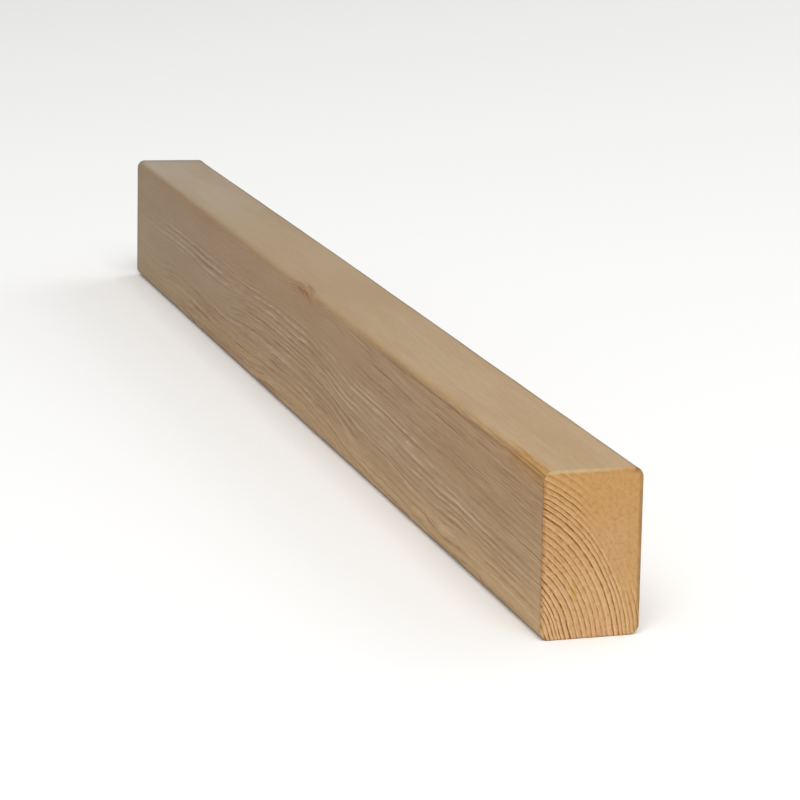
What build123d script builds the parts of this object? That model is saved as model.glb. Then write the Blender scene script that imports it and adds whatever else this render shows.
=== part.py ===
from build123d import *
import os

# A planed softwood stud, cut from one piece of stock.
# It lies on one narrow face, as in the photograph, with its length along X.
# X points from the far end to the near end, Y across the thickness, and Z up.
# The origin is in the middle of the face that it lies on. Sizes are in millimetres.

# Driving sizes of the stock
STUD_LENGTH = 680.0
STUD_WIDTH = 63.0
STUD_THICKNESS = 38.0

# Edges: the planer rounds the four long ones, and the sawn ends are lightly sanded
ARRIS_RADIUS = 4.0
END_EASE = 0.6

os.makedirs("parts", exist_ok=True)

# The section stands on the floor line, centred across the thickness, at the far end
far_end_plane = Plane.YZ.offset(-STUD_LENGTH / 2)

with BuildPart() as timber_plank:
    with BuildSketch(far_end_plane) as planed_section:
        RectangleRounded(STUD_THICKNESS, STUD_WIDTH, ARRIS_RADIUS, align=(Align.CENTER, Align.MIN))
    extrude(amount=STUD_LENGTH)

    # Both square saw cuts have their sharp rim taken off all round
    sawn_ends = timber_plank.faces().filter_by(Axis.X)
    chamfer(sawn_ends.edges(), END_EASE)

timber_plank.part.label = "timber_plank"
export_step(timber_plank.part, "parts/timber_plank.step")
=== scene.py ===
"""Visual model of a planed softwood stud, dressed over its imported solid.

The stud lies on a narrow face. Its length runs along X, with the near end of the
photograph at +X, its visible wide face at -Y, and Z up. Scene units are metres, and
the wood's own figures, such as ring radii, are in millimetres.
"""

from __future__ import annotations

import logging
import math
from dataclasses import dataclass
from enum import Enum

import bpy
from mathutils import Matrix, Vector

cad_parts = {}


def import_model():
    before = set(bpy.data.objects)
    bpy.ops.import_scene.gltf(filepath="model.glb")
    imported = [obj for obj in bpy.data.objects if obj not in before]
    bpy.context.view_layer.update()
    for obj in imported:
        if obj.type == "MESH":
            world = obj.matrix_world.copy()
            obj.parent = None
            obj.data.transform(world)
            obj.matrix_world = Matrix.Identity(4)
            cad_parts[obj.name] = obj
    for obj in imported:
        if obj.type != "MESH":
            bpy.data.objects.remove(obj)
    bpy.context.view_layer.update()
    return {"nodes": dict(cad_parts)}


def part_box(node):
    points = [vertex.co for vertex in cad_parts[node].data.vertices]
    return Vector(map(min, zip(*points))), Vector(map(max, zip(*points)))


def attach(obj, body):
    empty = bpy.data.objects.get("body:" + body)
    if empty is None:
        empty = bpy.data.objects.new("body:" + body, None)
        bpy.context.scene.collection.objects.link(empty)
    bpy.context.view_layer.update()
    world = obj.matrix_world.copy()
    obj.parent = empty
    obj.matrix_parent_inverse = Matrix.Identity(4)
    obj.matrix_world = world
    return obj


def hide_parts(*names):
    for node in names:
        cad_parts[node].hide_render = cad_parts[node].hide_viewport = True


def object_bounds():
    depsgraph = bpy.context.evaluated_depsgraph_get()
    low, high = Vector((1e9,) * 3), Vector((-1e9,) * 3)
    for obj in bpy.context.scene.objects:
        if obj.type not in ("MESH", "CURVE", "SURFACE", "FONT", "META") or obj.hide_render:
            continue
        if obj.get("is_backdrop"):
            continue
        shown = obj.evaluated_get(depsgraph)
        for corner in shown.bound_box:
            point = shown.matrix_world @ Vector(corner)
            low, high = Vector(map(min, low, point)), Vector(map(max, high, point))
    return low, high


LOG = logging.getLogger("planed_stud")

Socket = bpy.types.NodeSocket
Number = Socket | float
Colour = tuple[float, float, float]
CurvePoints = tuple[tuple[float, float], ...]

STUD_NODE = "timber_plank"
MM_PER_M = 1000.0

# The value that noise wavers about
NOISE_MIDDLE = 0.5

# How far a face's normal points along an axis before the face counts as that side
FACING = 0.5


class Fade(Enum):
    """How a value runs from one end of a range to the other."""

    STRAIGHT = "LINEAR"
    EASED = "SMOOTHSTEP"


class Bend(Enum):
    """How a drawn curve passes its points."""

    ROUND = "AUTO_CLAMPED"
    SHARP = "VECTOR"


class Axis(Enum):
    """What a region of the stud is measured by, in millimetres."""

    ALONG = "from the near end"
    FROM_FAR_END = "from the far end"
    ACROSS = "behind the visible wide face"
    FROM_BACK = "before the back wide face"
    UP = "over the base"
    FROM_TOP = "under the top"


class Face(Enum):
    """The faces that a stain keeps to."""

    ANY = "the whole surface"
    SAWN = "both sawn ends"
    PLANED = "the long faces"
    TOP = "the top"
    SIDES = "the long faces other than the top"


@dataclass(frozen=True)
class Run:
    """A fade: where it starts and ends, and the results there. The start may be the higher."""

    start: float
    end: float
    at_start: float = 0.0
    at_end: float = 1.0


@dataclass(frozen=True)
class Bump:
    """A bell-shaped hump: where it is 1, and how far away it falls to about a third."""

    centre: float
    spread: float


@dataclass(frozen=True)
class Grain:
    """A noise's grain: the size of its blobs in millimetres, and how many finer layers it has."""

    size: tuple[float, float, float]
    detail: float = 2.0
    roughness: float = 0.5


@dataclass(frozen=True)
class Draw:
    """A fixed random value for each ring: the least it is, how much it varies, and its seed."""

    least: float
    spread: float
    seed: float = 0.0


@dataclass(frozen=True)
class Speckle:
    """What breaks a pattern up: a noise, and the run of it that shows."""

    grain: Grain
    shown: Run
    by_ring: bool = False


@dataclass(frozen=True)
class Texture:
    """A fine pattern: its noise, the run of it that shows, its tint, and its relief in millimetres."""

    grain: Grain
    shown: Run
    tint: Colour
    relief: float


Limit = tuple[Axis, Run | Bump]
Region = tuple[Limit, ...]


@dataclass(frozen=True)
class Stain:
    """A change of colour over part of the stud.

    The limits of its region multiply, so it is whole only where all of them are. A stain
    that covers takes the place of the colour, and any other multiplies it.
    """

    colour: Colour
    region: Region = ()
    face: Face = Face.ANY
    strength: float = 1.0
    speckle: Speckle | None = None
    covers: bool = False


class NodeSheet:
    """Writes nodes into a shader or a geometry tree and hands back their outputs."""

    def __init__(self, tree: bpy.types.NodeTree) -> None:
        """Keep the tree to write in.

        Args:
            tree: The shader or geometry node tree.
        """
        self.tree = tree

    def node(self, kind: str, **settings: object) -> bpy.types.Node:
        """Add one node.

        Args:
            kind: Blender's name for the type of node.
            **settings: Properties to set on it.

        Returns:
            The new node.
        """
        made = self.tree.nodes.new(kind)
        for name, value in settings.items():
            setattr(made, name, value)
        return made

    def feed(self, target: Socket, value: Number | Vector | Colour) -> None:
        """Link an output to an input, or set the input's own value.

        Args:
            target: The input socket.
            value: An output socket, or a plain value.
        """
        if isinstance(value, bpy.types.NodeSocket):
            self.tree.links.new(value, target)
        else:
            target.default_value = value

    def math(self, operation: str, *values: Number) -> Socket:
        """Combine numbers.

        Args:
            operation: The operation's name in the Math node.
            *values: Up to three numbers or outputs.

        Returns:
            The result.
        """
        made = self.node("ShaderNodeMath", operation=operation)
        for target, value in zip(made.inputs, values):
            self.feed(target, value)
        return made.outputs[0]

    def add(self, *values: Number) -> Socket:
        """Add two or more numbers.

        Args:
            *values: Numbers or outputs.

        Returns:
            Their sum.
        """
        total = values[0]
        for value in values[1:]:
            total = self.math("ADD", total, value)
        return total

    def times(self, *values: Number) -> Socket:
        """Multiply two or more numbers.

        Args:
            *values: Numbers or outputs.

        Returns:
            Their product.
        """
        product = values[0]
        for value in values[1:]:
            product = self.math("MULTIPLY", product, value)
        return product

    def less(self, value: Number, taken: Number) -> Socket:
        """Return value minus taken."""
        return self.math("SUBTRACT", value, taken)

    def over(self, value: Number, by: Number) -> Socket:
        """Return value divided by another."""
        return self.math("DIVIDE", value, by)

    def rest(self, share: Number) -> Socket:
        """Return what is left of 1 after a share."""
        return self.math("SUBTRACT", 1.0, share)

    def vector_math(self, operation: str, *values: Number | Vector) -> Socket:
        """Combine vectors.

        Args:
            operation: The operation's name in the Vector Math node.
            *values: Vectors or outputs.

        Returns:
            The resulting vector.
        """
        made = self.node("ShaderNodeVectorMath", operation=operation)
        for target, value in zip(made.inputs, values):
            self.feed(target, value)
        return made.outputs[0]

    def length(self, vector: Socket) -> Socket:
        """Return the length of a vector."""
        made = self.node("ShaderNodeVectorMath", operation="LENGTH")
        self.feed(made.inputs[0], vector)
        return made.outputs[1]

    def split(self, vector: Socket) -> tuple[Socket, Socket, Socket]:
        """Return a vector's three parts."""
        made = self.node("ShaderNodeSeparateXYZ")
        self.feed(made.inputs[0], vector)
        return made.outputs[0], made.outputs[1], made.outputs[2]

    def join(self, x: Number, y: Number, z: Number) -> Socket:
        """Return a vector made of three parts."""
        made = self.node("ShaderNodeCombineXYZ")
        for target, value in zip(made.inputs, (x, y, z)):
            self.feed(target, value)
        return made.outputs[0]

    def fade(self, value: Number, run: Run, way: Fade = Fade.EASED) -> Socket:
        """Turn a range of a value into a range of another, held at both ends.

        Args:
            value: The value to read.
            run: Where the fade starts and ends, and the results there.
            way: Straight or eased.

        Returns:
            The faded value.
        """
        made = self.node("ShaderNodeMapRange", interpolation_type=way.value, clamp=True)
        given = (value, run.start, run.end, run.at_start, run.at_end)
        for target, number in zip(made.inputs, given):
            self.feed(target, number)
        return made.outputs[0]

    def hump(self, value: Number, bump: Bump) -> Socket:
        """Make a bell-shaped hump.

        Args:
            value: The value to read.
            bump: Where the hump lies, and how wide it is.

        Returns:
            A value from 0 to 1.
        """
        off = self.over(self.less(value, bump.centre), bump.spread)
        return self.math("EXPONENT", self.times(off, off, -1.0))

    def curve(self, value: Number, points: CurvePoints, bend: Bend = Bend.ROUND) -> Socket:
        """Read a drawn curve.

        Args:
            value: The value to read.
            points: Pairs of value and result, in rising order of value.
            bend: How the curve passes its points.

        Returns:
            The result, held at both ends.
        """
        start, end = points[0][0], points[-1][0]
        low = min(result for _, result in points)
        high = max(result for _, result in points)
        made = self.node("ShaderNodeFloatCurve")
        line = made.mapping.curves[0]
        while len(line.points) < len(points):
            line.points.new(0.5, 0.5)
        for point, (at, result) in zip(line.points, points):
            point.location = ((at - start) / (end - start), (result - low) / (high - low))
            point.handle_type = bend.value
        made.mapping.update()
        self.feed(made.inputs[1], self.fade(value, Run(start, end), Fade.STRAIGHT))
        return self.add(self.times(made.outputs[0], high - low), low)

    def noise(self, place: Socket, grain: Grain) -> Socket:
        """Read smooth noise.

        Args:
            place: A position in millimetres.
            grain: The size of the noise's blobs, and its finer layers.

        Returns:
            A value about NOISE_MIDDLE, mostly within a quarter of it.
        """
        scaled = self.vector_math("MULTIPLY", place, Vector([1.0 / size for size in grain.size]))
        made = self.node("ShaderNodeTexNoise", noise_dimensions="3D")
        self.feed(made.inputs["Vector"], scaled)
        self.feed(made.inputs["Scale"], 1.0)
        self.feed(made.inputs["Detail"], grain.detail)
        self.feed(made.inputs["Roughness"], grain.roughness)
        return made.outputs[0]

    def stray(self, place: Socket, grain: Grain) -> Socket:
        """Return noise that strays either way from 0."""
        return self.less(self.noise(place, grain), NOISE_MIDDLE)

    def draw(self, number: Socket, draw: Draw) -> Socket:
        """Draw a fixed random value for each whole number.

        Args:
            number: The whole number.
            draw: The range of the values, and their seed.

        Returns:
            The value drawn.
        """
        made = self.node("ShaderNodeTexWhiteNoise", noise_dimensions="1D")
        self.feed(made.inputs["W"], self.add(number, draw.seed))
        return self.add(self.times(made.outputs[0], draw.spread), draw.least)

    def mix(self, share: Number, first: Socket | Colour, second: Socket | Colour) -> Socket:
        """Blend two colours.

        Args:
            share: How much of the second colour there is.
            first: The colour at 0.
            second: The colour at 1.

        Returns:
            The blended colour.
        """
        return self._colours("MIX", share, first, second)

    def tint(self, share: Number, colour: Socket, by: Colour) -> Socket:
        """Multiply a colour by another.

        Args:
            share: How much of the change is made.
            colour: The colour to change.
            by: What it is multiplied by.

        Returns:
            The changed colour.
        """
        return self._colours("MULTIPLY", share, colour, by)

    def _colours(
        self, way: str, share: Number, first: Socket | Colour, second: Socket | Colour
    ) -> Socket:
        """Add a colour Mix node.

        Args:
            way: The node's blend type.
            share: Its factor.
            first: Its colour A.
            second: Its colour B.

        Returns:
            The node's colour output.
        """
        made = self.node("ShaderNodeMix", data_type="RGBA", blend_type=way, clamp_factor=True)
        self.feed(made.inputs["Factor"], share)
        for target, value in ((made.inputs[6], first), (made.inputs[7], second)):
            self.feed(target, (*value, 1.0) if isinstance(value, tuple) else value)
        return made.outputs[2]


@dataclass(frozen=True)
class RingSignals:
    """What the growth rings say at one place in the wood.

    The two places are for noise that follows the grain: one keeps level with the
    fibres, and the other keeps to its own ring.
    """

    along: Socket
    across: Socket
    up: Socket
    radius: Socket
    turn: Socket
    late: Socket
    second: Socket
    strength: Socket
    fibre_place: Socket
    ring_place: Socket


@dataclass(frozen=True)
class GrowthRings:
    """The tree's rings inside the stud, in millimetres.

    The pith lies outside the visible wide face, just below the base, so the near end
    shows arcs and the wide face shows lines. A place is given as the distance from the
    near end, the depth behind the visible wide face, and the height over the base.
    """

    pith_outside_wide_face: float = 21.0
    pith_below_base: float = 7.7
    ring_squash: float = 0.81

    # How far the rings stray from true: slowly, in waves and in shivers
    drift: float = 3.2
    drift_grain: Grain = Grain((75.0, 26.0, 26.0), detail=1.0)
    drift_starts: Run = Run(0.0, 120.0)
    wave: float = 0.6
    wave_grain: Grain = Grain((19.0, 8.0, 8.0), detail=1.0)
    wave_settles: Run = Run(0.0, 25.0, 0.4, 1.0)
    shiver: float = 0.4
    shiver_grain: Grain = Grain((6.0, 3.2, 3.2), detail=1.0)

    # Under the pith's height the rings step down, and the outer ones spread towards the base
    fold: float = 0.45
    fold_softness: float = 4.0
    foot_shift: float = 0.5
    foot_height: Run = Run(28.0, 8.0)
    foot_radius: Run = Run(31.0, 35.0)

    # Dark rings counted outwards from the pith, at the radii where the near end shows them
    count_by_radius: CurvePoints = (
        (6.0, -12.0),
        (24.0, 0.0),
        (27.2, 2.0),
        (29.5, 4.0),
        (32.8, 6.0),
        (37.1, 8.0),
        (42.7, 11.0),
        (46.5, 13.0),
        (49.0, 14.0),
        (51.1, 15.0),
        (54.0, 17.0),
        (58.7, 20.0),
        (84.0, 32.0),
    )
    count_offset: float = 0.12

    # How dark the latewood is at those radii
    strength_by_radius: CurvePoints = (
        (18.0, 0.85),
        (32.0, 0.95),
        (36.0, 0.82),
        (40.0, 0.68),
        (46.0, 0.62),
        (49.0, 1.05),
        (51.0, 0.95),
        (54.0, 0.95),
        (56.0, 0.6),
        (58.5, 0.8),
        (61.0, 0.4),
        (84.0, 0.16),
    )
    strength_luck: Draw = Draw(0.76, 0.4, seed=40.0)

    # Latewood swells over the last part of each turn, and ends sharply
    late_starts: Draw = Draw(0.48, 0.2)
    late_full: float = 0.9
    late_ends: Run = Run(0.93, 1.0, 1.0, 0.0)

    # A thinner line runs inside most rings, which halves the spacing
    second_line: Bump = Bump(0.38, 0.11)
    second_luck: Draw = Draw(0.3, 0.6, seed=80.0)
    second_starts: Run = Run(29.0, 36.0)

    # The wood is plain towards the top of its back
    plain_radius: Run = Run(53.5, 56.5)
    plain_depth: Run = Run(12.0, 20.0)
    plain_height: Run = Run(7.0, 24.0)
    plain_share: float = 0.9

    # The grain climbs towards a small knot half way along, and stays higher beyond it
    rise_along_length: CurvePoints = (
        (0.0, 0.0),
        (90.0, 2.2),
        (180.0, 4.6),
        (240.0, 7.4),
        (300.0, 12.6),
        (345.0, 14.6),
        (430.0, 12.6),
        (510.0, 11.0),
        (600.0, 11.6),
        (680.0, 10.8),
    )

    # Beside the knot the grain dives on its near side and lifts on its far side
    knot_dive: tuple[Bump, float] = (Bump(308.0, 11.0), -4.8)
    knot_lift: tuple[Bump, float] = (Bump(341.0, 18.0), 2.2)
    knot_height: Bump = Bump(61.0, 8.0)
    knot_depth: Run = Run(14.0, 2.0)

    def lay(self, sheet: NodeSheet, place: Socket) -> RingSignals:
        """Work out the rings at a place.

        Args:
            sheet: The sheet to write nodes on.
            place: Distance from the near end, depth and height, in millimetres.

        Returns:
            The ring signals.
        """
        along, across, up = sheet.split(place)
        rise = sheet.add(sheet.curve(along, self.rise_along_length), self._knot_rise(sheet, place))
        level = sheet.less(up, rise)
        radius = self._radius(sheet, place, level)
        offset_count = sheet.curve(radius, self.count_by_radius, Bend.SHARP)
        count = sheet.less(offset_count, self.count_offset)
        ring = sheet.math("FLOOR", count)
        turn = sheet.less(count, ring)
        late_start = sheet.draw(ring, self.late_starts)
        swell = sheet.over(sheet.less(turn, late_start), sheet.less(self.late_full, late_start))
        second = sheet.times(
            sheet.hump(turn, self.second_line),
            sheet.draw(ring, self.second_luck),
            sheet.fade(radius, self.second_starts),
        )
        plain = sheet.times(
            sheet.fade(radius, self.plain_radius),
            sheet.fade(across, self.plain_depth),
            sheet.fade(up, self.plain_height),
            self.plain_share,
        )
        strength = sheet.times(
            sheet.curve(radius, self.strength_by_radius),
            sheet.draw(ring, self.strength_luck),
            sheet.rest(plain),
        )
        return RingSignals(
            along=along,
            across=across,
            up=up,
            radius=radius,
            turn=turn,
            late=sheet.times(sheet.fade(swell, Run(0.0, 1.0)), sheet.fade(turn, self.late_ends)),
            second=second,
            strength=strength,
            fibre_place=sheet.join(along, across, level),
            ring_place=sheet.join(along, radius, sheet.less(across, level)),
        )

    def _radius(self, sheet: NodeSheet, place: Socket, level: Socket) -> Socket:
        """Measure how far from the pith a place lies, as its ring does.

        Args:
            sheet: The sheet to write nodes on.
            place: A place in the stock.
            level: The place's height, less the rise of the grain there.

        Returns:
            The radius of the place's ring.
        """
        along, across, _ = sheet.split(place)
        depth = sheet.add(across, self.pith_outside_wide_face)
        height = sheet.times(sheet.add(level, self.pith_below_base), self.ring_squash)
        from_pith = sheet.length(sheet.join(0.0, depth, height))
        below = sheet.math("SMOOTH_MAX", sheet.times(level, -1.0), 0.0, self.fold_softness)
        by_foot = sheet.times(
            sheet.fade(level, self.foot_height), sheet.fade(from_pith, self.foot_radius)
        )
        started = sheet.fade(along, self.drift_starts)
        settled = sheet.fade(along, self.wave_settles)
        return sheet.add(
            from_pith,
            sheet.times(below, -self.fold),
            sheet.times(by_foot, -self.foot_shift),
            sheet.times(sheet.stray(place, self.drift_grain), started, self.drift),
            sheet.times(sheet.stray(place, self.wave_grain), settled, self.wave),
            sheet.times(sheet.stray(place, self.shiver_grain), self.shiver),
        )

    def _knot_rise(self, sheet: NodeSheet, place: Socket) -> Socket:
        """Bend the grain beside the small knot on the front arris.

        Args:
            sheet: The sheet to write nodes on.
            place: A place in the stock.

        Returns:
            How much higher the grain runs there.
        """
        along, across, up = sheet.split(place)
        sides = [
            sheet.times(sheet.hump(along, bump), lift)
            for bump, lift in (self.knot_dive, self.knot_lift)
        ]
        near_arris = sheet.times(
            sheet.hump(up, self.knot_height), sheet.fade(across, self.knot_depth)
        )
        return sheet.times(sheet.add(*sides), near_arris)


class Surface:
    """A place on the stud as its finish reads it, with the axes and faces of its regions."""

    # Distances in millimetres: from an end, where the saw cut begins, and from the top
    SAW_CUT = Run(0.45, 0.3)
    TOP_EDGE = Run(1.8, 0.2)

    def __init__(
        self, sheet: NodeSheet, signals: RingSignals, size: tuple[float, float, float]
    ) -> None:
        """Measure the place.

        Args:
            sheet: The sheet to write nodes on.
            signals: The ring signals.
            size: The stud's length, thickness and width in millimetres.
        """
        self.sheet = sheet
        self.signals = signals
        length, thickness, width = size
        self.axes = {
            Axis.ALONG: signals.along,
            Axis.FROM_FAR_END: sheet.less(length, signals.along),
            Axis.ACROSS: signals.across,
            Axis.FROM_BACK: sheet.less(thickness, signals.across),
            Axis.UP: signals.up,
            Axis.FROM_TOP: sheet.less(width, signals.up),
        }
        from_end = sheet.math("MINIMUM", signals.along, self.axes[Axis.FROM_FAR_END])
        sawn = sheet.fade(from_end, self.SAW_CUT)
        planed = sheet.rest(sawn)
        top = sheet.times(sheet.fade(self.axes[Axis.FROM_TOP], self.TOP_EDGE), planed)
        self.faces = {
            Face.ANY: 1.0,
            Face.SAWN: sawn,
            Face.PLANED: planed,
            Face.TOP: top,
            Face.SIDES: sheet.times(planed, sheet.rest(top)),
        }

    def share(self, region: Region) -> Number:
        """Say how far a region reaches here.

        Args:
            region: The region's limits.

        Returns:
            1 well inside the region, and 0 outside it.
        """
        share = 1.0
        for axis, limit in region:
            read = self.sheet.hump if isinstance(limit, Bump) else self.sheet.fade
            share = self.sheet.times(share, read(self.axes[axis], limit))
        return share

    def speckled(self, speckle: Speckle) -> Socket:
        """Return how much of a pattern its speckle leaves here."""
        place = self.signals.ring_place if speckle.by_ring else self.signals.fibre_place
        return self.sheet.fade(self.sheet.noise(place, speckle.grain), speckle.shown)

    def stained(self, colour: Socket, stain: Stain, *limits: Socket) -> Socket:
        """Lay a stain over a colour.

        Args:
            colour: The colour without the stain.
            stain: The stain.
            *limits: What limits it beside its own region and face.

        Returns:
            The colour with the stain.
        """
        share = self.sheet.times(
            self.share(stain.region), self.faces[stain.face], stain.strength, *limits
        )
        if stain.speckle:
            share = self.sheet.times(share, self.speckled(stain.speckle))
        lay = self.sheet.mix if stain.covers else self.sheet.tint
        return lay(share, colour, stain.colour)


FRONT_ARRIS: Limit = (Axis.ACROSS, Run(6.0, 2.5))
KNOT_ARRIS: Limit = (Axis.ACROSS, Run(7.0, 3.0))
NEAR_CORNER: Region = (FRONT_ARRIS, (Axis.ALONG, Run(60.0, 16.0)), (Axis.UP, Run(53.6, 57.5)))
LOW_DOWN: Limit = (Axis.UP, Run(22.0, 6.0))
# A speckle that breaks up the painted shade on the rims
SHADE_SPECKLE = Speckle(Grain((26.0, 9.0, 9.0)), Run(0.35, 0.6, 0.55, 1.0))


@dataclass(frozen=True)
class PlanedSoftwood:
    """The bare wood: planed long faces and two sawn ends, as one solid pattern.

    Colours are linear. Lengths are in millimetres from the near end, the visible wide
    face and the base.
    """

    rings: GrowthRings
    length: float
    thickness: float
    width: float

    planed_roughness: float = 0.6
    sawn_roughness: float = 0.85
    shine: float = 0.25

    planed_ground: Colour = (0.441, 0.287, 0.149)
    planed_late: Colour = (0.27, 0.145, 0.058)
    planed_pale: Colour = (0.60, 0.43, 0.27)
    sawn_early: Colour = (0.615, 0.373, 0.189)
    sawn_bright: Colour = (0.80, 0.525, 0.297)
    sawn_gold: Colour = (0.565, 0.335, 0.143)
    sawn_late: Colour = (0.18, 0.062, 0.006)
    sawn_late_tint: Colour = (1.0, 0.93, 0.63)
    far_greying: Colour = (0.775, 0.845, 0.955)

    # Where the planed faces show fewer lines: beyond the knot, at the far end and on top
    far_upper: Region = ((Axis.ALONG, Run(205.0, 270.0)), (Axis.UP, Run(42.0, 47.5)))
    far_middle: Region = (
        (Axis.ALONG, Run(430.0, 520.0)),
        (Axis.UP, Run(20.0, 25.0)),
        (Axis.UP, Run(36.0, 31.0)),
    )
    far_tip: Region = ((Axis.ALONG, Run(560.0, 640.0)),)
    plain_hides: float = 0.78
    plain_top: Region = ((Axis.FROM_TOP, Run(1.6, 0.4)),)
    top_hides: float = 0.8
    knot_lines: Region = ((Axis.ALONG, Run(330.0, 280.0)), (Axis.UP, Run(53.0, 57.0)))
    knot_lines_kept: float = 0.5

    # The planed faces' dark lines: latewood and the thinner line inside each ring, in dashes
    planed_sharpness: float = 1.5
    planed_second: float = 0.75
    planed_dark: float = 0.95
    patches: Speckle = Speckle(Grain((46.0, 5.0, 40.0)), Run(0.36, 0.62, 0.3, 1.0), by_ring=True)
    dashes: Speckle = Speckle(
        Grain((12.0, 0.9, 10.0), detail=1.0), Run(0.38, 0.60, 0.4, 1.15), by_ring=True
    )

    # How far from the pith the palest lines of the wide face lie
    bundle_radius: CurvePoints = (
        (0.0, 30.0),
        (60.0, 31.0),
        (110.0, 33.0),
        (180.0, 35.0),
        (260.0, 35.6),
        (430.0, 35.6),
        (680.0, 35.0),
    )
    bundle_width: Bump = Bump(0.0, 4.4)
    bundle_clears: Run = Run(30.0, 190.0, 0.3, 0.95)
    pale_elsewhere: float = 0.14
    pale_rises: Run = Run(0.0, 0.18)
    pale_falls: Run = Run(0.6, 0.3)

    # Finer light and dark lines along the rings
    fine_grain: Grain = Grain((70.0, 0.62, 22.0), roughness=0.6)
    fine_light: Run = Run(0.52, 0.66)
    fine_light_share: float = 0.52
    fine_dark: Run = Run(0.48, 0.34)
    fine_dark_share: float = 0.46

    # Fibres and dark flecks, which never fade out, and clouds of colour
    fibres: Texture = Texture(
        Grain((13.0, 0.32, 0.32), roughness=0.6), Run(0.42, 0.7), (0.84, 0.80, 0.74), 0.03
    )
    flecks: Texture = Texture(
        Grain((6.0, 0.36, 0.36), detail=1.0), Run(0.69, 0.75), (0.60, 0.50, 0.38), -0.03
    )
    fleck_share: float = 0.6
    fibres_kept: float = 0.3
    clouds: Stain = Stain(
        (0.95, 0.925, 0.88), speckle=Speckle(Grain((90.0, 14.0, 14.0)), Run(0.38, 0.66))
    )

    # Relief of the planed faces, with the planer's knife marks
    line_relief: float = 0.03
    knife_pitch: float = 2.1
    knife_relief: float = 0.001

    # A golden corner with strong brown lines, next to the near end
    golden_corner: Stain = Stain((1.08, 0.96, 0.68), NEAR_CORNER, strength=0.85)
    corner_lines: Stain = Stain(
        (0.66, 0.52, 0.34),
        NEAR_CORNER,
        strength=0.85,
        speckle=Speckle(Grain((30.0, 0.42, 9.0)), Run(0.50, 0.62), by_ring=True),
    )

    # The arris carries a paler band of painted highlight on its near part, over a thin painted shadow
    # line in two stretches
    arris_highlight: Stain = Stain(
        (1.08, 1.05, 0.85),
        (
            (Axis.UP, Bump(62.0, 1.1)),
            (Axis.ACROSS, Run(5.0, 3.0)),
            (Axis.ALONG, Run(430.0, 160.0)),
        ),
        speckle=Speckle(Grain((20.0, 6.0, 6.0)), Run(0.42, 0.58, 0.25, 0.85)),
    )
    arris_shadow_line: Stain = Stain(
        (0.52, 0.42, 0.28), ((Axis.UP, Bump(60.4, 0.5)), FRONT_ARRIS), strength=0.5
    )
    arris_shadow_stretches: tuple[Bump, Bump] = (Bump(86.0, 20.0), Bump(150.0, 62.0))

    # The knot: a blush, short dark lines that swirl up to the arris, and a small brown heart
    knot_blush: Stain = Stain(
        (1.07, 0.96, 0.86),
        ((Axis.ALONG, Bump(330.0, 17.0)), (Axis.UP, Bump(60.0, 3.2)), KNOT_ARRIS),
        strength=0.8,
    )
    knot_swirl: Stain = Stain(
        (0.52, 0.40, 0.28),
        ((Axis.ALONG, Bump(327.0, 23.0)), KNOT_ARRIS),
        strength=0.72,
        speckle=Speckle(Grain((18.0, 0.75, 12.0)), Run(0.49, 0.57), by_ring=True),
    )
    swirl_height: Run = Run(308.0, 334.0, 57.6, 61.2)
    swirl_width: Bump = Bump(0.0, 3.4)
    knot_heart: Stain = Stain(
        (0.66, 0.50, 0.36),
        ((Axis.ALONG, Bump(334.0, 12.0)), (Axis.UP, Bump(62.1, 0.8)), KNOT_ARRIS),
        strength=0.3,
    )

    # The sawn ends' rings: darkest in front, fainter at the top, and bright between them
    sawn_sharpness: float = 1.1
    sawn_dark: float = 0.8
    sawn_second_by_depth: Run = Run(30.0, 6.0, 0.1, 0.4)
    sawn_dark_by_depth: Run = Run(24.0, 2.0, 1.1, 1.5)
    sawn_dark_by_height: Run = Run(61.0, 51.0, 0.62, 1.0)
    sawn_breaks: Speckle = Speckle(Grain((9.0, 2.4, 2.4)), Run(0.34, 0.60, 0.42, 1.0))
    bright_rises: Run = Run(0.0, 0.12)
    bright_falls: Run = Run(0.62, 0.3)
    bright_share: float = 0.5
    sawn_ring_relief: float = 0.045

    # The outer wood is golden and shows fewer of the fine arcs
    outer_radius: Run = Run(50.0, 64.0)
    outer_blotch_grain: Grain = Grain((8.0, 6.0, 6.0))
    outer_blotch_reach: float = 8.0
    outer_hides: float = 0.55
    arcs: Texture = Texture(
        Grain((90.0, 0.34, 5.0), roughness=0.6), Run(0.47, 0.68), (0.80, 0.72, 0.58), 0.05
    )
    mottle: Texture = Texture(
        Grain((8.0, 1.9, 1.9), detail=3.0, roughness=0.65), Run(0.45, 0.7), (0.88, 0.85, 0.78), 0.06
    )
    cells: Texture = Texture(
        Grain((1.0, 0.3, 0.3), detail=1.0), Run(0.5, 0.75), (0.88, 0.85, 0.80), 0.05
    )
    resin: Stain = Stain(
        (0.86, 0.88, 0.45),
        (
            (Axis.ACROSS, Bump(12.4, 1.2)),
            (Axis.UP, Bump(17.5, 2.2)),
            (Axis.ALONG, Run(20.0, 10.0)),
        ),
        strength=0.9,
    )
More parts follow.
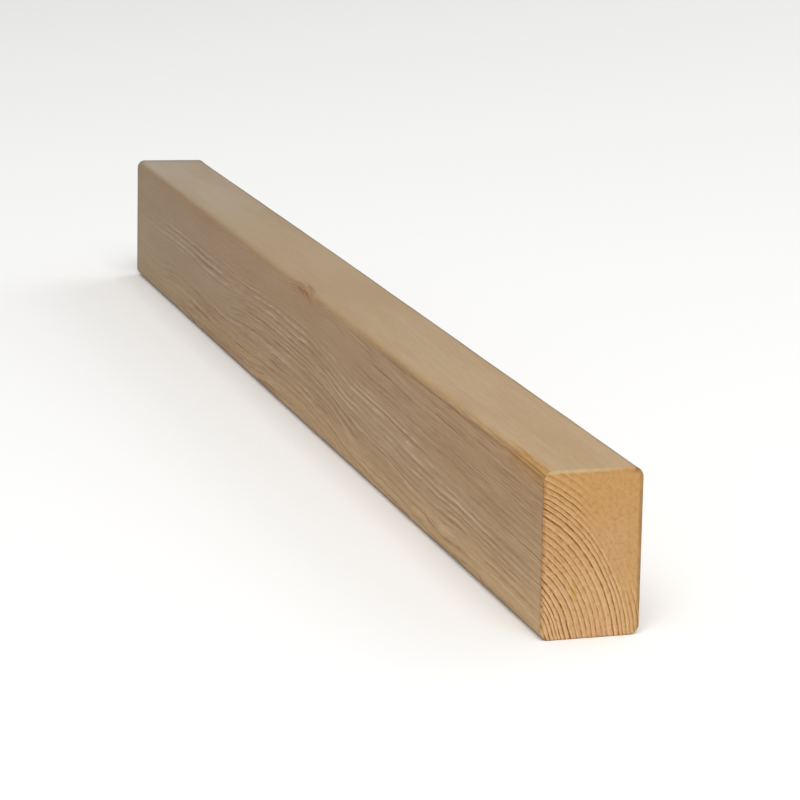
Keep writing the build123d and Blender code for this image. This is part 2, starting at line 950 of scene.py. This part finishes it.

    # What light and the saw did to it, with painted light and shade, in the order in which they are
    # laid on
    weathering_and_painted_light: tuple[Stain, ...] = (
        # The top is pale, and palest at its far tip
        Stain((1.05, 1.12, 1.22), face=Face.TOP),
        Stain((1.08, 1.18, 1.40), ((Axis.ALONG, Run(450.0, 650.0)),), Face.TOP),
        # The long faces are paler low down, which is painted floor-bounce light, duller beyond the
        # middle, and darker high up, which is painted shade
        Stain(
            (1.17, 1.14, 1.08),
            (LOW_DOWN, (Axis.ALONG, Run(680.0, 400.0, 0.6, 1.0))),
            Face.PLANED,
        ),
        Stain((1.045, 1.10, 1.14), (LOW_DOWN, (Axis.ALONG, Run(300.0, 150.0))), Face.PLANED),
        Stain((0.97, 0.945, 0.965), ((Axis.ALONG, Bump(505.0, 75.0)),), Face.SIDES),
        # Painted shade high on the long sides
        Stain((0.95, 0.92, 0.90), ((Axis.UP, Run(28.0, 44.0)),), Face.SIDES),
        # The ends are golden high up, with a paler blush on their plain back half
        Stain((0.95, 0.91, 0.82), ((Axis.UP, Run(14.0, 34.0)),), Face.SAWN),
        Stain(
            (1.04, 1.06, 1.22),
            ((Axis.ACROSS, Bump(27.0, 9.0)), (Axis.UP, Bump(36.0, 9.0))),
            Face.SAWN,
        ),
        # A pale line along the near top edge is a painted highlight, where the eased rim catches the
        # light
        Stain(
            (0.53, 0.41, 0.21),
            (
                (Axis.ALONG, Run(1.6, 1.0)),
                (Axis.UP, Run(61.7, 62.4)),
                (Axis.ACROSS, Run(31.0, 20.0)),
            ),
            speckle=Speckle(Grain((9.0, 4.0, 9.0)), Run(0.35, 0.6, 0.3, 0.75)),
            covers=True,
        ),
        # A dark broken line shows where the saw left the visible wide face
        Stain(
            (0.66, 0.56, 0.46),
            (
                (Axis.ALONG, Run(1.8, 0.8)),
                (Axis.ACROSS, Run(1.4, 0.5)),
                (Axis.UP, Run(60.0, 58.0)),
            ),
            strength=0.7,
            speckle=Speckle(Grain((9.0, 4.0, 1.6)), Run(0.35, 0.6, 0.35, 1.0)),
        ),
        # The far rim is grey with painted shade, where it turns away from the light
        Stain(
            (0.21, 0.19, 0.18),
            ((Axis.FROM_FAR_END, Run(10.0, 0.0)),),
            Face.PLANED,
            strength=0.6,
            speckle=SHADE_SPECKLE,
            covers=True,
        ),
    )

    # Painted shade darkens the top back arris, and the back edge of both ends, where they turn away
    # from the light
    painted_edge_shade: Stain = Stain((0.46, 0.48, 0.50), strength=0.9, speckle=SHADE_SPECKLE)
    painted_shade_arris: Region = ((Axis.FROM_BACK, Run(4.4, 2.4)), (Axis.FROM_TOP, Run(3.0, 0.9)))
    painted_shade_edge: Region = ((Axis.FROM_BACK, Run(1.9, 1.0)),)
    painted_shade_edge_share: float = 0.65

    def dress(self) -> bpy.types.Material:
        """Make the material.

        Returns:
            The stud's material, which reads Object coordinates.
        """
        material = bpy.data.materials.new("planed_softwood")
        material.use_nodes = True
        shader = material.node_tree.nodes["Principled BSDF"]
        sheet = NodeSheet(material.node_tree)
        spot = sheet.node("ShaderNodeTexCoord").outputs["Object"]
        place = stock_place(sheet, spot, self.length, self.thickness)
        signals = self.rings.lay(sheet, place)
        surface = Surface(sheet, signals, (self.length, self.thickness, self.width))
        sawn = surface.faces[Face.SAWN]
        planed_colour, planed_height = self._planed(surface)
        sawn_colour, sawn_height = self._sawn(surface)
        colour = self._weather_and_paint_light(surface, sheet.mix(sawn, planed_colour, sawn_colour))
        roughness = Run(0.0, 1.0, self.planed_roughness, self.sawn_roughness)
        sheet.feed(shader.inputs["Base Color"], colour)
        sheet.feed(shader.inputs["Roughness"], sheet.fade(sawn, roughness))
        sheet.feed(shader.inputs["Specular IOR Level"], self.shine)
        height = sheet.add(
            sheet.times(planed_height, surface.faces[Face.PLANED]),
            sheet.times(sawn_height, sawn),
        )
        relief = sheet.node("ShaderNodeBump")
        sheet.feed(relief.inputs["Strength"], 1.0)
        sheet.feed(relief.inputs["Distance"], 1.0 / MM_PER_M)
        sheet.feed(relief.inputs["Height"], height)
        sheet.feed(shader.inputs["Normal"], relief.outputs[0])
        return material

    def _visibility(self, surface: Surface) -> Socket:
        """Say how clearly the planed faces show their lines.

        Args:
            surface: The place on the stud.

        Returns:
            1 where the lines are clear, and less on the plain stretches and on the top.
        """
        sheet = surface.sheet
        kept = sheet.times(surface.share(self.knot_lines), self.knot_lines_kept)
        plain = sheet.times(surface.share(self.far_upper), sheet.rest(kept))
        for stretch in (self.far_middle, self.far_tip):
            plain = sheet.math("MAXIMUM", plain, surface.share(stretch))
        top = surface.share(self.plain_top)
        return sheet.times(
            sheet.rest(sheet.times(plain, self.plain_hides)),
            sheet.rest(sheet.times(top, self.top_hides)),
        )

    def _planed(self, surface: Surface) -> tuple[Socket, Socket]:
        """Colour the planed faces.

        Args:
            surface: The place on the stud.

        Returns:
            The colour, and the height of the surface in millimetres.
        """
        sheet, signals = surface.sheet, surface.signals
        fine = sheet.noise(signals.ring_place, self.fine_grain)
        fibre = sheet.noise(signals.fibre_place, self.fibres.grain)
        fleck = sheet.noise(signals.fibre_place, self.flecks.grain)
        dashed = surface.speckled(self.dashes)
        seen = self._visibility(surface)
        clear = sheet.times(surface.speckled(self.patches), seen)

        # Thin dark latewood, a pale bundle along the middle, and finer lines between
        late = sheet.math("POWER", signals.late, self.planed_sharpness)
        line = sheet.math("MAXIMUM", late, sheet.times(signals.second, self.planed_second))
        dark = sheet.times(line, dashed, signals.strength, clear, self.planed_dark)
        off_centre = sheet.less(signals.radius, sheet.curve(signals.along, self.bundle_radius))
        bundle = sheet.add(
            sheet.times(
                sheet.hump(off_centre, self.bundle_width),
                sheet.fade(signals.along, self.bundle_clears),
            ),
            self.pale_elsewhere,
        )
        early = sheet.times(
            sheet.fade(signals.turn, self.pale_rises), sheet.fade(signals.turn, self.pale_falls)
        )
        pale = sheet.times(early, bundle, clear, dashed)
        light_line = sheet.times(sheet.fade(fine, self.fine_light), clear, self.fine_light_share)
        dark_line = sheet.times(sheet.fade(fine, self.fine_dark), clear, self.fine_dark_share)
        colour = sheet.mix(dark, self.planed_ground, self.planed_late)
        colour = sheet.mix(pale, colour, self.planed_pale)
        colour = sheet.mix(light_line, colour, self.planed_pale)
        colour = sheet.mix(dark_line, colour, self.planed_late)

        # Fibres, clouds and flecks lie over the lines
        fibres_seen = sheet.add(sheet.times(seen, 1.0 - self.fibres_kept), self.fibres_kept)
        fibred = sheet.times(sheet.fade(fibre, self.fibres.shown), fibres_seen)
        flecked = sheet.times(sheet.fade(fleck, self.flecks.shown), fibres_seen)
        colour = sheet.tint(fibred, colour, self.fibres.tint)
        colour = surface.stained(colour, self.clouds)
        colour = sheet.tint(sheet.times(flecked, self.fleck_share), colour, self.flecks.tint)
        knife = sheet.math("SINE", sheet.times(signals.along, 2.0 * math.pi / self.knife_pitch))
        height = sheet.add(
            sheet.times(fibre, self.fibres.relief),
            sheet.times(fine, seen, self.line_relief),
            sheet.times(late, signals.strength, seen, self.line_relief),
            sheet.times(flecked, self.flecks.relief),
            sheet.times(knife, self.knife_relief),
        )
        return self._arris(surface, colour), height

    def _arris(self, surface: Surface, colour: Socket) -> Socket:
        """Colour the front arris: its golden corner, painted highlight, painted shadow line and knot.

        Args:
            surface: The place on the stud.
            colour: The colour without them.

        Returns:
            The colour with them.
        """
        sheet, signals = surface.sheet, surface.signals
        # The last of these, the paler band on the arris, is a painted highlight
        for stain in (self.golden_corner, self.corner_lines, self.arris_highlight):
            colour = surface.stained(colour, stain)
        # A thin painted shadow line under the highlight, in two stretches
        near, beyond = (sheet.hump(signals.along, bump) for bump in self.arris_shadow_stretches)
        colour = surface.stained(colour, self.arris_shadow_line, sheet.add(near, beyond))
        colour = surface.stained(colour, self.knot_blush)
        off_swirl = sheet.less(signals.up, sheet.fade(signals.along, self.swirl_height))
        colour = surface.stained(colour, self.knot_swirl, sheet.hump(off_swirl, self.swirl_width))
        return surface.stained(colour, self.knot_heart)

    def _sawn(self, surface: Surface) -> tuple[Socket, Socket]:
        """Colour the sawn ends.

        Args:
            surface: The place on the stud.

        Returns:
            The colour, and the height of the surface in millimetres.
        """
        sheet, signals = surface.sheet, surface.signals
        flat_place = sheet.join(0.0, signals.across, signals.up)
        mottle = sheet.noise(flat_place, self.mottle.grain)
        cells = sheet.noise(flat_place, self.cells.grain)
        arcs = sheet.noise(signals.ring_place, self.arcs.grain)
        broken = sheet.fade(
            sheet.noise(flat_place, self.sawn_breaks.grain), self.sawn_breaks.shown
        )
        blotch = sheet.noise(flat_place, self.outer_blotch_grain)
        blotched_radius = sheet.add(signals.radius, sheet.times(blotch, self.outer_blotch_reach))
        outer = sheet.fade(blotched_radius, self.outer_radius)
        late = sheet.math("POWER", signals.late, self.sawn_sharpness)
        bright = sheet.times(
            sheet.fade(signals.turn, self.bright_rises),
            sheet.fade(signals.turn, self.bright_falls),
            signals.strength,
            self.bright_share,
        )
        second = sheet.times(
            signals.second, sheet.fade(signals.across, self.sawn_second_by_depth)
        )
        ring_line = sheet.times(
            sheet.math("MAXIMUM", late, second),
            signals.strength,
            broken,
            sheet.fade(signals.across, self.sawn_dark_by_depth),
            sheet.fade(signals.up, self.sawn_dark_by_height),
        )
        arced = sheet.times(
            sheet.fade(arcs, self.arcs.shown), sheet.rest(sheet.times(outer, self.outer_hides))
        )
        colour = sheet.mix(outer, self.sawn_early, self.sawn_gold)
        colour = sheet.mix(bright, colour, self.sawn_bright)
        colour = sheet.mix(sheet.times(ring_line, self.sawn_dark), colour, self.sawn_late)
        colour = sheet.tint(ring_line, colour, self.sawn_late_tint)
        colour = sheet.tint(arced, colour, self.arcs.tint)
        colour = sheet.tint(sheet.fade(mottle, self.mottle.shown), colour, self.mottle.tint)
        colour = sheet.tint(sheet.fade(cells, self.cells.shown), colour, self.cells.tint)
        colour = surface.stained(colour, self.resin)
        height = sheet.add(
            sheet.times(late, signals.strength, self.sawn_ring_relief),
            sheet.times(arcs, self.arcs.relief),
            sheet.times(cells, self.cells.relief),
            sheet.times(mottle, self.mottle.relief),
        )
        return colour, height

    def _weather_and_paint_light(self, surface: Surface, colour: Socket) -> Socket:
        """Age the wood, greyer towards the far end with saw marks, and lay painted light and shade on
        it: light low down and on the near top edge, shade high up and on the rims.

        Args:
            surface: The place on the stud.
            colour: The fresh colour.

        Returns:
            The aged colour, with its painted light and shade.
        """
        sheet = surface.sheet
        distance = sheet.fade(surface.signals.along, Run(0.0, self.length), Fade.STRAIGHT)
        colour = sheet.tint(distance, colour, self.far_greying)
        # Weathering stains, among them painted light and painted shade
        for stain in self.weathering_and_painted_light:
            colour = surface.stained(colour, stain)
        # Painted shade on the back edge of both ends and on the top back arris
        edge = sheet.times(
            surface.share(self.painted_shade_edge), surface.faces[Face.SAWN], self.painted_shade_edge_share
        )
        rim = sheet.math("MAXIMUM", surface.share(self.painted_shade_arris), edge)
        return surface.stained(colour, self.painted_edge_shade, rim)


def stock_place(sheet: NodeSheet, spot: Socket, length: float, thickness: float) -> Socket:
    """Turn a position in the row frame into a place in the stock.

    Args:
        sheet: The sheet to write nodes on.
        spot: A position in metres.
        length: The stud's length in millimetres.
        thickness: Its thickness in millimetres.

    Returns:
        Distance from the near end, depth behind the visible wide face, and height.
    """
    scaled = sheet.vector_math("MULTIPLY", spot, Vector((-MM_PER_M, MM_PER_M, MM_PER_M)))
    return sheet.vector_math("ADD", scaled, Vector((length / 2, thickness / 2, 0.0)))


@dataclass(frozen=True)
class PlanedStud:
    """The stud's own shape, made by Geometry Nodes. Sizes are in metres.

    A finely divided box is wrapped onto the rounded section. Its end loops step round
    the eased rim, and the whole skin then sinks by the relief of the grain.
    """

    length: float
    thickness: float
    width: float
    arris_radius: float = 0.004
    end_ease: float = 0.0006
    loops_along: int = 121
    loops_across: int = 97
    loops_up: int = 161
    grain_relief: float = 0.00005
    surface_wave: float = 0.00008
    arris_wear: float = 0.00012
    saw_relief: float = 0.00012
    far_back_dip: float = 0.001
    far_front_lean: float = 0.0005

    # Loops counted from the nearer end: those round its rim, and where relief starts and stops
    rim_loops: float = 2.0
    loop_crowding: float = 0.04
    skin_starts: Run = Run(1.0, 4.0)
    cut_stops: Run = Run(0.5, 0.0)

    # How far out in the section, where the long faces are 1, each kind of relief reaches
    least_out: float = 0.0001
    skin_reach: Run = Run(0.9999, 1.0)
    cut_reach: Run = Run(1.0, 0.96)

    # Patterns of the relief, in millimetres
    wave_pattern: Speckle = Speckle(Grain((60.0, 30.0, 30.0)), Run(0.3, 0.7))
    wear_pattern: Speckle = Speckle(Grain((70.0, 9.0, 9.0)), Run(0.42, 0.72))
    saw_grain: Grain = Grain((10.0, 30.0, 3.0))
    saw_ring_share: float = 0.5
    twist_length: float = 330.0

    # The flat chart for a baked finish
    chart_name: str = "OFBake"
    chart_long_share: float = 0.66
    chart_margin: float = 0.004

    def finish(self) -> PlanedSoftwood:
        """Return the finish that fits this stud's sizes."""
        return PlanedSoftwood(
            GrowthRings(),
            self.length * MM_PER_M,
            self.thickness * MM_PER_M,
            self.width * MM_PER_M,
        )

    def build(self) -> bpy.types.Object:
        """Make the stud as a plain mesh.

        Returns:
            The finished piece, at the origin.
        """
        material = self.finish().dress()
        tree = self._tree(material)
        carrier = bpy.data.objects.new("stud_carrier", bpy.data.meshes.new("stud_carrier"))
        bpy.context.scene.collection.objects.link(carrier)
        modifier = carrier.modifiers.new("stud_shape", "NODES")
        modifier.node_group = tree
        for item in tree.interface.items_tree:
            if item.in_out == "INPUT" and item.socket_type != "NodeSocketGeometry":
                modifier[item.identifier] = item.default_value
        depsgraph = bpy.context.evaluated_depsgraph_get()
        mesh = bpy.data.meshes.new_from_object(
            carrier.evaluated_get(depsgraph), preserve_all_data_layers=True, depsgraph=depsgraph
        )
        carrier.modifiers.remove(modifier)
        bpy.data.objects.remove(carrier)
        mesh.name = "planed_stud"
        piece = bpy.data.objects.new("planed_stud", mesh)
        bpy.context.scene.collection.objects.link(piece)
        return piece

    def _tree(self, material: bpy.types.Material) -> bpy.types.NodeTree:
        """Write the geometry tree.

        Args:
            material: What the stud is dressed in.

        Returns:
            The tree, with named inputs for the stud's sizes.
        """
        tree = bpy.data.node_groups.new("planed_stud_shape", "GeometryNodeTree")
        tree.interface.new_socket("Geometry", in_out="OUTPUT", socket_type="NodeSocketGeometry")
        sizes = {
            "Length": self.length,
            "Thickness": self.thickness,
            "Width": self.width,
            "Arris Radius": self.arris_radius,
            "End Ease": self.end_ease,
            "Grain Relief": self.grain_relief,
            "Surface Wave": self.surface_wave,
            "Arris Wear": self.arris_wear,
            "Saw Relief": self.saw_relief,
            "Far Back Dip": self.far_back_dip,
            "Far Front Lean": self.far_front_lean,
        }
        for name, value in sizes.items():
            size = tree.interface.new_socket(name, in_out="INPUT", socket_type="NodeSocketFloat")
            size.default_value = value
        sheet = NodeSheet(tree)
        given = sheet.node("NodeGroupInput").outputs
        box = self._box(sheet, given)
        charted = self._chart(sheet, given, box)
        shaped = self._wrap(sheet, given, charted)
        smooth = sheet.node("GeometryNodeSetShadeSmooth")
        sheet.feed(smooth.inputs["Geometry"], shaped)
        realized = sheet.node("GeometryNodeRealizeInstances")
        sheet.feed(realized.inputs["Geometry"], smooth.outputs[0])
        dressed = sheet.node("GeometryNodeSetMaterial")
        sheet.feed(dressed.inputs["Geometry"], realized.outputs[0])
        dressed.inputs["Material"].default_value = material
        sheet.feed(sheet.node("NodeGroupOutput").inputs[0], dressed.outputs[0])
        return tree

    def _box(self, sheet: NodeSheet, given: bpy.types.NodeOutputs) -> Socket:
        """Make the finely divided box that the stud is wrapped from.

        Args:
            sheet: The sheet to write nodes on.
            given: The tree's inputs.

        Returns:
            The box's geometry.
        """
        box = sheet.node("GeometryNodeMeshCube")
        size = sheet.join(given["Length"], given["Thickness"], given["Width"])
        sheet.feed(box.inputs["Size"], size)
        sheet.feed(box.inputs["Vertices X"], self.loops_along)
        sheet.feed(box.inputs["Vertices Y"], self.loops_across)
        sheet.feed(box.inputs["Vertices Z"], self.loops_up)
        return box.outputs["Mesh"]

    def _chart(self, sheet: NodeSheet, given: bpy.types.NodeOutputs, box: Socket) -> Socket:
        """Lay the box out flat for a baked finish.

        The four long faces are one sheet, unrolled round the section, and the two ends lie
        beside each other above it, larger, because their rings are finer.

        Args:
            sheet: The sheet to write nodes on.
            given: The tree's inputs.
            box: The box's geometry.

        Returns:
            The box with its own chart.
        """
        place = sheet.split(sheet.node("GeometryNodeInputPosition").outputs[0])
        faced = sheet.node("GeometryNodeFieldOnDomain", data_type="FLOAT_VECTOR", domain="FACE")
        sheet.feed(faced.inputs[0], sheet.node("GeometryNodeInputNormal").outputs[0])
        side_x, side_y, side_z = sheet.split(faced.outputs[0])
        share_x, share_y, share_z = (
            sheet.add(sheet.over(part, given[name]), 0.5)
            for part, name in zip(place, ("Length", "Thickness", "Width"))
        )

        # Each long face takes its share of the way round, from the front's lower edge
        around = sheet.times(sheet.add(given["Thickness"], given["Width"]), 2.0)
        wide = sheet.over(given["Width"], around)
        narrow = sheet.over(given["Thickness"], around)
        front = sheet.times(share_z, wide)
        top = sheet.add(wide, sheet.times(share_y, narrow))
        back = sheet.add(wide, narrow, sheet.times(sheet.rest(share_z), wide))
        base = sheet.add(wide, narrow, wide, sheet.times(sheet.rest(share_y), narrow))
        round_share = sheet.add(
            sheet.times(sheet.math("LESS_THAN", side_y, -FACING), front),
            sheet.times(sheet.math("GREATER_THAN", side_z, FACING), top),
            sheet.times(sheet.math("GREATER_THAN", side_y, FACING), back),
            sheet.times(sheet.math("LESS_THAN", side_z, -FACING), base),
        )
        margin = self.chart_margin
        long_u = sheet.add(sheet.times(share_x, 1.0 - 2.0 * margin), margin)
        long_v = sheet.add(sheet.times(round_share, self.chart_long_share), margin)

        # The near end lies right and the far end left, in the strip that is left
        is_near = sheet.math("GREATER_THAN", side_x, FACING)
        end_u = sheet.add(
            sheet.times(share_y, 0.5 - 2.0 * margin), margin, sheet.times(is_near, 0.5)
        )
        end_height = 1.0 - self.chart_long_share - 4.0 * margin
        end_v = sheet.add(sheet.times(share_z, end_height), self.chart_long_share + 3.0 * margin)
        is_end = sheet.math("GREATER_THAN", sheet.math("ABSOLUTE", side_x), FACING)
        is_long = sheet.rest(is_end)
        u = sheet.add(sheet.times(is_end, end_u), sheet.times(is_long, long_u))
        v = sheet.add(sheet.times(is_end, end_v), sheet.times(is_long, long_v))
        stored = sheet.node("GeometryNodeStoreNamedAttribute", data_type="FLOAT2", domain="CORNER")
        sheet.feed(stored.inputs["Geometry"], box)
        sheet.feed(stored.inputs["Name"], self.chart_name)
        sheet.feed(stored.inputs["Value"], sheet.join(u, v, 0.0))
        return stored.outputs[0]

    def _wrap(self, sheet: NodeSheet, given: bpy.types.NodeOutputs, box: Socket) -> Socket:
        """Wrap the box onto the rounded section, ease its ends and sink the relief.

        Args:
            sheet: The sheet to write nodes on.
            given: The tree's inputs.
            box: The box's geometry.

        Returns:
            The wrapped geometry.
        """
        x, y, z = sheet.split(sheet.node("GeometryNodeInputPosition").outputs[0])
        half = {
            name: sheet.times(given[name], 0.5) for name in ("Length", "Thickness", "Width")
        }

        # How far out the point lies in the section: 1 on the long faces, less inside an end
        out = sheet.math(
            "MAXIMUM",
            sheet.over(sheet.math("ABSOLUTE", y), half["Thickness"]),
            sheet.over(sheet.math("ABSOLUTE", z), half["Width"]),
        )
        out = sheet.math("MAXIMUM", out, self.least_out)

        # The section's rounded outline in that direction, and its outward normal
        edge_y, edge_z = sheet.over(y, out), sheet.over(z, out)
        core_y = self._held(sheet, edge_y, sheet.less(half["Thickness"], given["Arris Radius"]))
        core_z = self._held(sheet, edge_z, sheet.less(half["Width"], given["Arris Radius"]))
        outwards = sheet.join(0.0, sheet.less(edge_y, core_y), sheet.less(edge_z, core_z))
        _, normal_y, normal_z = sheet.split(sheet.vector_math("NORMALIZE", outwards))

        # The first loops step round the eased rim, and the others crowd towards the ends
        steps = (self.loops_along - 1) / 2
        from_end = sheet.less(half["Length"], sheet.math("ABSOLUTE", x))
        loop = sheet.math("ROUND", sheet.over(sheet.times(from_end, steps), half["Length"]))
        on_rim = sheet.math("MINIMUM", loop, self.rim_loops)
        quarter = sheet.times(on_rim, math.pi / 2 / self.rim_loops)
        inset = sheet.times(given["End Ease"], sheet.rest(sheet.math("SINE", quarter)))
        round_rim = sheet.times(given["End Ease"], sheet.rest(sheet.math("COSINE", quarter)))
        past_rim = sheet.math("MAXIMUM", sheet.less(loop, self.rim_loops), 0.0)
        share = sheet.over(past_rim, steps - self.rim_loops)
        spread = sheet.over(
            sheet.times(share, share, 1.0 + self.loop_crowding),
            sheet.add(share, self.loop_crowding),
        )
        beyond_rim = sheet.times(spread, sheet.less(half["Length"], given["End Ease"]))
        inward = sheet.add(round_rim, beyond_rim)
        side = sheet.math("SIGN", x)
        new_x = sheet.times(side, sheet.less(half["Length"], inward))
        reach = sheet.less(given["Arris Radius"], inset)
        flat_y = sheet.times(out, sheet.add(core_y, sheet.times(normal_y, reach)))
        flat_z = sheet.times(out, sheet.add(core_z, sheet.times(normal_z, reach)))
        lifted_z = sheet.add(flat_z, half["Width"])
        smooth_place = sheet.join(new_x, flat_y, lifted_z)

        # The same rings as the finish, so that colour and relief agree
        length, thickness = self.length * MM_PER_M, self.thickness * MM_PER_M
        place = stock_place(sheet, smooth_place, length, thickness)
        signals = GrowthRings().lay(sheet, place)
        raised = sheet.math("MINIMUM", sheet.times(signals.late, signals.strength), 1.0)

        # Long faces sink where the earlywood is soft, and arrises where they are handled
        arris = sheet.times(
            sheet.math("ABSOLUTE", normal_y), sheet.math("ABSOLUTE", normal_z), 2.0
        )
        wave, wear = (
            sheet.fade(sheet.noise(place, pattern.grain), pattern.shown)
            for pattern in (self.wave_pattern, self.wear_pattern)
        )
        skin = sheet.add(
            sheet.times(given["Grain Relief"], sheet.rest(raised)),
            sheet.times(given["Surface Wave"], wave),
            sheet.times(given["Arris Wear"], arris, wear),
        )
        sink = sheet.times(
            skin,
            sheet.fade(out, self.skin_reach, Fade.STRAIGHT),
            sheet.fade(loop, self.skin_starts),
        )

        # Ends sink between the hard rings and along the saw's passes
        passes = sheet.noise(place, self.saw_grain)
        depth = sheet.add(
            sheet.times(sheet.rest(raised), self.saw_ring_share),
            sheet.times(passes, 1.0 - self.saw_ring_share),
        )
        cut = sheet.times(
            given["Saw Relief"],
            sheet.fade(out, self.cut_reach),
            sheet.fade(loop, self.cut_stops),
            depth,
        )
        sunk_x = sheet.less(new_x, sheet.times(side, cut))
        sunk_y = sheet.less(flat_y, sheet.times(normal_y, sink))
        sunk_z = sheet.less(lifted_z, sheet.times(normal_z, sink))

        # The far end is slightly twisted: its back corner is low and its front leans in
        far = sheet.fade(signals.along, Run(length - self.twist_length, length))
        depth_share = sheet.over(sheet.add(sunk_y, half["Thickness"]), given["Thickness"])
        height_share = sheet.over(sunk_z, given["Width"])
        lean = sheet.times(far, sheet.rest(depth_share), height_share, given["Far Front Lean"])
        dip = sheet.times(far, depth_share, height_share, given["Far Back Dip"])
        final_place = sheet.join(sunk_x, sheet.add(sunk_y, lean), sheet.less(sunk_z, dip))
        placed = sheet.node("GeometryNodeSetPosition")
        sheet.feed(placed.inputs["Geometry"], box)
        sheet.feed(placed.inputs["Position"], final_place)
        return placed.outputs[0]

    def _held(self, sheet: NodeSheet, value: Socket, limit: Socket) -> Socket:
        """Hold a value between a limit and its negative.

        Args:
            sheet: The sheet to write nodes on.
            value: The value to hold.
            limit: How far from zero it may be.

        Returns:
            The held value.
        """
        lowered = sheet.math("MINIMUM", value, limit)
        return sheet.math("MAXIMUM", lowered, sheet.times(limit, -1.0))


@dataclass(frozen=True)
class Studio:
    """A plain pale floor and soft light. Sizes are in metres."""

    floor_side: float = 40.0
    floor_colour: Colour = (0.95, 0.95, 0.94)
    floor_roughness: float = 0.9
    floor_shine: float = 0.1
    sky_colour: Colour = (1.0, 1.0, 1.0)
    sky_strength: float = 0.5
    key_size: float = 2.6
    key_power: float = 86.0
    key_place: tuple[float, float, float] = (2.0, -0.5, 2.9)
    fill_size: float = 2.4
    fill_power: float = 22.0
    fill_place: tuple[float, float, float] = (-1.2, 2.6, 1.7)

    def floor(self) -> bpy.types.Object:
        """Make the floor.

        Returns:
            The floor, which is stage and not part of the object.
        """
        half = self.floor_side / 2
        mesh = bpy.data.meshes.new("studio_floor")
        corners = [(-half, -half, 0.0), (half, -half, 0.0), (half, half, 0.0), (-half, half, 0.0)]
        mesh.from_pydata(corners, [], [(0, 1, 2, 3)])
        material = bpy.data.materials.new("studio_floor")
        material.use_nodes = True
        shader = material.node_tree.nodes["Principled BSDF"]
        shader.inputs["Base Color"].default_value = (*self.floor_colour, 1.0)
        shader.inputs["Roughness"].default_value = self.floor_roughness
        shader.inputs["Specular IOR Level"].default_value = self.floor_shine
        mesh.materials.append(material)
        floor = bpy.data.objects.new("studio_floor", mesh)
        bpy.context.scene.collection.objects.link(floor)
        return floor

    def lights(self) -> None:
        """Hang the soft key and fill lights, and set a pale sky."""
        self._panel("key_light", self.key_place, self.key_size, self.key_power)
        self._panel("fill_light", self.fill_place, self.fill_size, self.fill_power)
        world = bpy.data.worlds.new("pale_studio")
        world.use_nodes = True
        sky = world.node_tree.nodes["Background"]
        sky.inputs["Color"].default_value = (*self.sky_colour, 1.0)
        sky.inputs["Strength"].default_value = self.sky_strength
        bpy.context.scene.world = world

    def _panel(
        self, name: str, place: tuple[float, float, float], size: float, power: float
    ) -> None:
        """Hang one soft panel that faces the stud.

        Args:
            name: The light's name.
            place: Where it hangs.
            size: The length of its side.
            power: Its power in watts.
        """
        lamp = bpy.data.lights.new(name, "AREA")
        lamp.shape = "SQUARE"
        lamp.size = size
        lamp.energy = power
        panel = bpy.data.objects.new(name, lamp)
        panel.location = place
        panel.rotation_euler = (-Vector(place)).to_track_quat("-Z", "Y").to_euler()
        bpy.context.scene.collection.objects.link(panel)


@dataclass(frozen=True)
class PhotographCamera:
    """The photograph's viewpoint, fitted to the stud's outline. Metres and degrees."""

    place: tuple[float, float, float] = (1.4454, -0.4066, 0.3708)
    azimuth: float = 73.208
    elevation: float = 13.554
    roll: float = 0.917
    lens_mm: float = 153.12
    sensor_mm: float = 36.0
    nearest: float = 0.01
    farthest: float = 100.0

    def stand(self) -> None:
        """Set up the camera and make it the scene's own."""
        turn, tilt, roll = (math.radians(v) for v in (self.azimuth, self.elevation, self.roll))
        back = Vector(
            (math.sin(turn) * math.cos(tilt), -math.cos(turn) * math.cos(tilt), math.sin(tilt))
        )
        level_right = Vector((0.0, 0.0, 1.0)).cross(back).normalized()
        level_up = back.cross(level_right)
        right = math.cos(roll) * level_right + math.sin(roll) * level_up
        up = -math.sin(roll) * level_right + math.cos(roll) * level_up
        lens = bpy.data.cameras.new("photograph_camera")
        lens.lens = self.lens_mm
        lens.sensor_width = self.sensor_mm
        lens.clip_start = self.nearest
        lens.clip_end = self.farthest
        camera = bpy.data.objects.new("photograph_camera", lens)
        axes = Matrix((right, up, back)).transposed().to_4x4()
        camera.matrix_world = Matrix.Translation(Vector(self.place)) @ axes
        bpy.context.scene.collection.objects.link(camera)
        bpy.context.scene.camera = camera


def main() -> None:
    """Build the stud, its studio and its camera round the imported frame."""
    logging.basicConfig(level=logging.INFO, format="%(name)s: %(message)s")
    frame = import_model()
    LOG.info("frame has the nodes %s", sorted(frame["nodes"]))

    low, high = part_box(STUD_NODE)
    length, thickness, width = high - low
    stud = PlanedStud(length, thickness, width)
    piece = stud.build()
    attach(piece, "root")
    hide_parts(STUD_NODE)
    LOG.info("%s has %d faces", piece.name, len(piece.data.polygons))

    studio = Studio()
    floor = studio.floor()
    floor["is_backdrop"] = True
    studio.lights()
    PhotographCamera().stand()
    bpy.context.scene.view_settings.view_transform = "Standard"
    LOG.info("studio and camera are in place")

    low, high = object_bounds()


if __name__ == "__main__":
    main()
